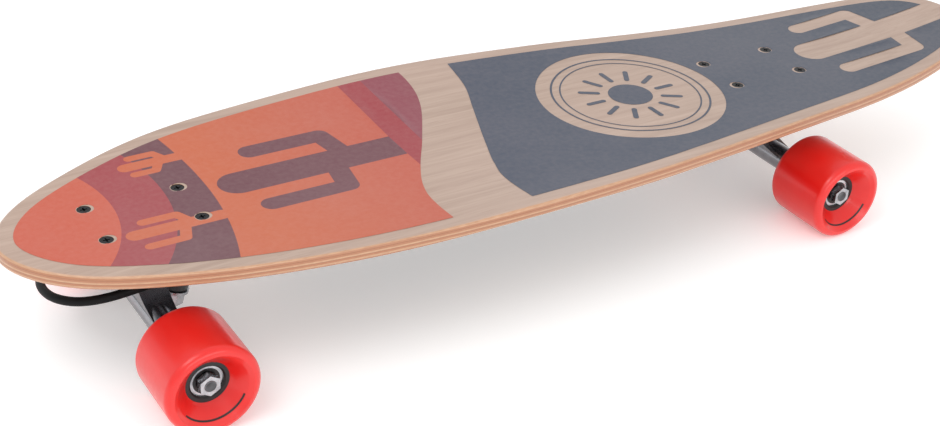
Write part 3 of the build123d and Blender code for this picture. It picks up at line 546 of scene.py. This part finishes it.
def make_deck_print():
    """One sheet of ink, cut where a colour changes and laid on the deck's top."""
    straight = [
        [(x, -reach), (x, reach), (x - 0.01, reach), (x - 0.01, -reach)]
        for x in (rose_band_x, dark_band_x)
    ]
    loops = [
        border, sunset_field, sea_field, sun_disc, glow_disc, dusk_disc, badge_disc, badge_sun,
        *badge_rings, *badge_rays, *bolt_rings, *bolt_surrounds, *big_cactus, *far_cactus,
        *near_cactus, *tail_cactus, *straight,
    ]
    points, edges = [], []
    for loop in loops:
        first = len(points)
        points += [Vector(p) for p in loop]
        edges += [(first + i, first + (i + 1) % len(loop)) for i in range(len(loop))]
    columns = ceil(2 * half_length / MM / grid_step)
    rows = ceil(2 * half_width / MM / grid_step)
    for i in range(columns):
        for j in range(rows):
            x = -half_length / MM + (i + 0.5) * grid_step
            y = -half_width / MM + (j + 0.5) * grid_step
            if inside(x, y, border):
                points.append(Vector((x, y)))
    flat, _, triangles, *_ = geometry.delaunay_2d_cdt(points, edges, [], 0, 1e-5)
    inks = make_inks()
    order = list(inks)
    used, verts, faces, colours = {}, [], [], []
    for triangle in triangles:
        mid = sum((flat[i] for i in triangle), Vector((0, 0))) / 3
        ink = ink_at(mid.x, mid.y)
        if ink is None:
            continue
        for i in triangle:
            if i not in used:
                used[i] = len(verts)
                x, y = flat[i].x * MM, flat[i].y * MM
                verts.append((x, y, deck_top(x, y) + ink_lift))
        faces.append([used[i] for i in triangle])
        colours.append(order.index(ink))
    sheet = add_mesh("deck_print", verts, faces, list(inks.values()), "board")
    for polygon, colour in zip(sheet.data.polygons, colours):
        polygon.material_index = colour
    return sheet


make_deck_print()


# ================================================================ urethane wheels
def make_red_urethane():
    s = Shader(
        "red_urethane", coat_weight=0.3, coat_roughness=0.1, subsurface_weight=0.08,
        subsurface_scale=0.003, subsurface_radius=(1.0, 0.12, 0.06),
    )
    cloud = s.noise(26, detail=3)
    red = s.mix(s.span(cloud, 0.35, 0.7), srgb(214, 8, 1), srgb(222, 14, 4))
    # The paler pink mixed in towards both faces of the wheel, broken up by the cloud noise, is
    # painted sheen on its lips.
    across = s.math("ABSOLUTE", s.math("SUBTRACT", s.axis("Y", "Generated"), 0.5))
    edge = s.math("ADD", across, s.math("MULTIPLY", cloud, 0.30))
    s.colour(s.mix(s.span(edge, 0.52, 0.70, 0.0, 0.12), red, srgb(214, 84, 78)))
    s.rough(s.noise(300, detail=4), 0.25, 0.42)
    waves = s.bump(s.noise(42, (1, 0.4, 1), detail=1), 0.0009, 0.35)
    s.bump(s.noise(130, (1, 0.25, 1), detail=2, distortion=1.5), 0.0003, 0.3, below=waves)
    return s.material


def make_wheel_mark(name, wheel, axle, end):
    """A thin dark arc on the recess of a wheel's outer face, by the step down from its lip:
    partly the wheel's print, partly painted shadow in that step.
    """
    start, sweep, steps = radians(205), radians(120), 40
    lift = 0.25 * MM
    rings = ((22.6, 3.0), (21.7, 3.9))
    verts, faces = [], []
    for k in range(steps + 1):
        angle = start + sweep * k / steps
        for radius, depth in rings:
            verts.append((
                axle.x + radius * MM * cos(angle),
                end * (wheel_face_y - depth * MM + lift),
                axle.z + radius * MM * sin(angle),
            ))
    for k in range(steps):
        a = 2 * k
        faces.append((a, a + 1, a + 3, a + 2) if end > 0 else (a, a + 2, a + 3, a + 1))
    return add_mesh(name, verts, faces, [mark_print_and_shade], wheel)


red_urethane = make_red_urethane()
tyres = [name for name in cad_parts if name.endswith("_tyre")]
dress(red_urethane, *tyres)


# ================================================================ plain materials
def make_plain(name, dark, light, scale, rough, grain, metallic=0.0, stretch=(1, 1, 1), **more):
    """A finish whose colour, roughness and height vary with two sizes of noise."""
    s = Shader(name, metallic=metallic, **more)
    broad = s.noise(scale, stretch, detail=4, roughness=0.6)
    fine = s.noise(scale * 12, stretch, detail=3)
    s.colour(s.mix(s.span(broad, 0.3, 0.7), dark, light))
    s.rough(broad, *rough)
    s.bump(fine, grain, 0.6)
    return s


def make_cast():
    s = make_plain(
        "cast_aluminium", srgb(140, 140, 144), srgb(152, 152, 157), 190, (0.20, 0.30),
        0.00003, metallic=1.0,
    )
    return s.material


def make_turned(name, dark, light, rough, axle_x):
    """Metal with turned rings round an axle."""
    s = Shader(name, metallic=1.0)
    offset = s.node("VectorMath", operation="SUBTRACT")
    s.link(s.place(), offset.inputs[0])
    offset.inputs[1].default_value = (axle_x, 0, axle_z)
    flat = s.node("VectorMath", operation="MULTIPLY")
    s.link(offset.outputs[0], flat.inputs[0])
    flat.inputs[1].default_value = (1, 0, 1)
    radius = s.node("VectorMath", operation="LENGTH")
    s.link(flat.outputs[0], radius.inputs[0])
    rings = s.math("SINE", s.math("MULTIPLY", radius.outputs["Value"], 2 * pi / 0.0006))
    wear = s.noise(90, detail=4, roughness=0.65)
    s.colour(s.mix(s.span(wear, 0.35, 0.75), dark, light))
    s.rough(wear, *rough)
    s.bump(rings, 0.00003, 0.5)
    return s.material


def make_lines(name, dark, light, pitch, metallic, rough, axis="Y", **more):
    """Fine lines across one axis: threads, laminations or wound wire."""
    s = Shader(name, metallic=metallic, **more)
    waves = s.math("SINE", s.math("MULTIPLY", s.axis(axis), 2 * pi / pitch))
    wear = s.noise(140, detail=4)
    # The colour follows the waves as well: darker down each groove and paler on each crest, which
    # is painted shade and highlight, mixed with the random wear tone.
    shade = s.math("ADD", s.math("MULTIPLY", waves, 0.25), wear)
    s.colour(s.mix(s.span(shade, 0.2, 0.85), dark, light))
    s.rough(wear, *rough)
    s.bump(waves, pitch * 0.25, 0.7)
    return s.material


cast = make_cast()
zinc = make_plain("zinc_plate", srgb(150, 152, 156), srgb(205, 206, 210), 120, (0.18, 0.36),
                  0.00006, metallic=1.0).material
black_oxide = make_plain("black_oxide", srgb(14, 14, 16), srgb(34, 34, 38), 150, (0.30, 0.52),
                         0.00008, metallic=0.6).material
polished = make_turned("bearing_steel", srgb(150, 152, 156), srgb(215, 216, 220), (0.10, 0.26),
                       nose_axle.x)
polished_tail = make_turned("bearing_steel_tail", srgb(150, 152, 156), srgb(215, 216, 220),
                            (0.10, 0.26), tail_axle.x)
seal = make_plain("bearing_seal", srgb(10, 10, 11), srgb(24, 24, 27), 200, (0.35, 0.5),
                  0.00005).material
anodised = make_turned("anodised_can", srgb(20, 20, 22), srgb(29, 29, 32), (0.24, 0.34),
                       nose_axle.x)
threaded = make_lines("threaded_steel", srgb(70, 72, 74), srgb(130, 133, 136), 0.001, 1.0,
                      (0.28, 0.45))
nylon = make_plain("core_nylon", srgb(9, 9, 10), srgb(20, 20, 22), 130, (0.35, 0.55),
                   0.00008).material
bushing = make_plain("bushing_urethane", srgb(16, 16, 18), srgb(30, 30, 33), 70, (0.30, 0.45),
                     0.00005, coat_weight=0.3, coat_roughness=0.2).material
cable_skin = make_plain("cable_rubber", srgb(6, 6, 7), srgb(14, 14, 15), 160, (0.55, 0.7),
                    0.00008)
cable_skin.surface.inputs["Specular IOR Level"].default_value = 0.2
rubber = cable_skin.material
textured = make_plain("textured_abs", srgb(22, 22, 24), srgb(29, 29, 32), 240, (0.44, 0.56),
                      0.0002).material
brushed = make_plain("brushed_button", srgb(150, 151, 154), srgb(205, 206, 209), 120,
                     (0.2, 0.34), 0.00006, metallic=1.0, stretch=(0.1, 1, 1)).material
nickel = make_plain("nickel_magnet", srgb(160, 160, 158), srgb(200, 199, 195), 110,
                    (0.2, 0.35), 0.00004, metallic=1.0).material
laminated = make_lines("laminated_steel", srgb(70, 70, 74), srgb(130, 130, 134), 0.0007, 1.0,
                       (0.35, 0.5))
copper = make_lines("wound_copper", srgb(140, 62, 28), srgb(206, 112, 62), 0.0008, 1.0,
                    (0.22, 0.36), axis="Z")
wrap = make_plain("cell_wrap", srgb(22, 78, 130), srgb(30, 98, 158), 40, (0.25, 0.4), 0.00005,
                  coat_weight=0.4, coat_roughness=0.1).material
fibreglass = make_plain("circuit_board", srgb(8, 62, 34), srgb(16, 92, 50), 300, (0.3, 0.5),
                        0.00008, coat_weight=0.3, coat_roughness=0.1).material
# Colour of the dark wheel arcs: partly print, partly painted shadow in the step under each
# wheel's lip.
mark_print_and_shade = make_plain("wheel_mark", srgb(18, 10, 12), srgb(40, 22, 24), 200, (0.3, 0.5),
                      0.00003).material

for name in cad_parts:
    tail = name.startswith("tail")
    if name.endswith(("baseplate", "hanger")):
        dress(cast, name)
    elif name.endswith(("bushings", "pivot_cup")):
        dress(bushing, name)
    elif name.endswith("_core"):
        dress(nylon, name)
    elif name.endswith("shields"):
        dress(seal, name)
    elif name.endswith(("races", "balls")):
        dress(polished_tail if tail else polished, name)
    elif name.endswith(("nut", "nuts", "washers", "kingpin", "shaft")):
        dress(zinc, name)
    elif name.endswith("_axle"):
        dress(threaded, name)
dress(black_oxide, "deck_bolts", "deck_locknuts", "enclosure_screws", "motor_cover_screws")
dress(anodised, "motor_can", "motor_cover")
dress(nickel, "motor_magnets")
dress(laminated, "motor_stator")
dress(copper, "motor_windings")
dress(textured, "enclosure", "charge_port", "cable_gland")
dress(rubber, "port_cap")
dress(brushed, "power_button")
dress(wrap, "battery_cells")
dress(fibreglass, "bms_board", "controller_board")

# Dark arcs by the wheels' lip steps: partly print, partly painted shadow.
make_wheel_mark("nose_left_mark", "nose_left_wheel", nose_axle, 1)
make_wheel_mark("tail_left_mark", "tail_left_wheel", tail_axle, 1)
make_wheel_mark("tail_right_mark", "tail_right_wheel", tail_axle, -1)


# ================================================================ motor cable
def make_cable():
    """From the box's gland, out past the nose truck in a loop and into the motor's shaft."""
    cable_radius = 3 * MM
    gland = (gland_low[1] + gland_high[1]) / 2, (gland_low[2] + gland_high[2]) / 2
    high = axle_z + 26.6 * MM
    port_y = -58 * MM
    axle_x = nose_truck_x + 4.4 * MM
    route = [
        (box_nose_x - 6 * MM, *gland),
        (box_nose_x + 26 * MM, *gland),
        (axle_x - 36 * MM, 33 * MM, gland[1] - 4 * MM),
        (axle_x + 4 * MM, 31.5 * MM, high + 1 * MM),
        (axle_x + 46 * MM, 32.5 * MM, high - 1 * MM),
        (axle_x + 65 * MM, 8 * MM, high - 6 * MM),
        (axle_x + 60 * MM, -34 * MM, axle_z + 11 * MM),
        (axle_x + 33 * MM, port_y, axle_z),
        (axle_x + 3 * MM, port_y, axle_z),
    ]
    data = bpy.data.curves.new("cable_route", "CURVE")
    data.dimensions = "3D"
    data.resolution_u = 24
    spline = data.splines.new("NURBS")
    spline.points.add(len(route) - 1)
    for point, place in zip(spline.points, route):
        point.co = (*place, 1)
    spline.order_u = 3
    spline.use_endpoint_u = True
    guide = bpy.data.objects.new("cable_route", data)
    bpy.context.collection.objects.link(guide)
    bpy.context.view_layer.update()
    line = bpy.data.meshes.new_from_object(
        guide.evaluated_get(bpy.context.evaluated_depsgraph_get())
    )
    path = [v.co.copy() for v in line.vertices]
    bpy.data.objects.remove(guide)
    bpy.data.meshes.remove(line)
    verts, faces = tube(path, cable_radius, 20)
    cable = add_mesh("motor_lead", verts, faces, [rubber], None)
    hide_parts("motor_cable")
    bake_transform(cable)


make_cable()


# ================================================================ floor and light
def make_stage():
    s = Shader("pale_floor", roughness=0.7, emission_strength=0.22)
    s.surface.inputs["Emission Color"].default_value = (1, 1, 1, 1)
    pale, paler = (0.93, 0.93, 0.93, 1), (0.96, 0.96, 0.96, 1)
    s.colour(s.mix(s.span(s.noise(3, detail=3), 0.3, 0.7), pale, paler))
    half = 40.0
    floor = add_mesh(
        "floor", [(-half, -half, 0), (half, -half, 0), (half, half, 0), (-half, half, 0)],
        [(0, 1, 2, 3)], [s.material], None,
    )
    world = bpy.data.worlds.new("studio")
    world.use_nodes = True
    world.node_tree.nodes["Background"].inputs["Color"].default_value = (1, 1, 1, 1)
    world.node_tree.nodes["Background"].inputs["Strength"].default_value = 0.95
    bpy.context.scene.world = world
    bpy.context.scene.view_settings.view_transform = "Standard"


def add_lamp(name, place, aim, size, power):
    data = bpy.data.lights.new(name, "AREA")
    data.shape = "RECTANGLE"
    data.size, data.size_y = size
    data.energy = power
    lamp = bpy.data.objects.new(name, data)
    bpy.context.collection.objects.link(lamp)
    lamp.location = place
    lamp.rotation_mode = "QUATERNION"
    lamp.rotation_quaternion = (Vector(aim) - Vector(place)).to_track_quat("-Z", "Y")


make_stage()
add_lamp("key", (1.2, 0.4, 1.7), (0.1, 0, 0.08), (1.2, 0.9), 10)
add_lamp("side", (0.05, 1.8, 0.7), (0, 0, 0.05), (2.0, 0.5), 8)
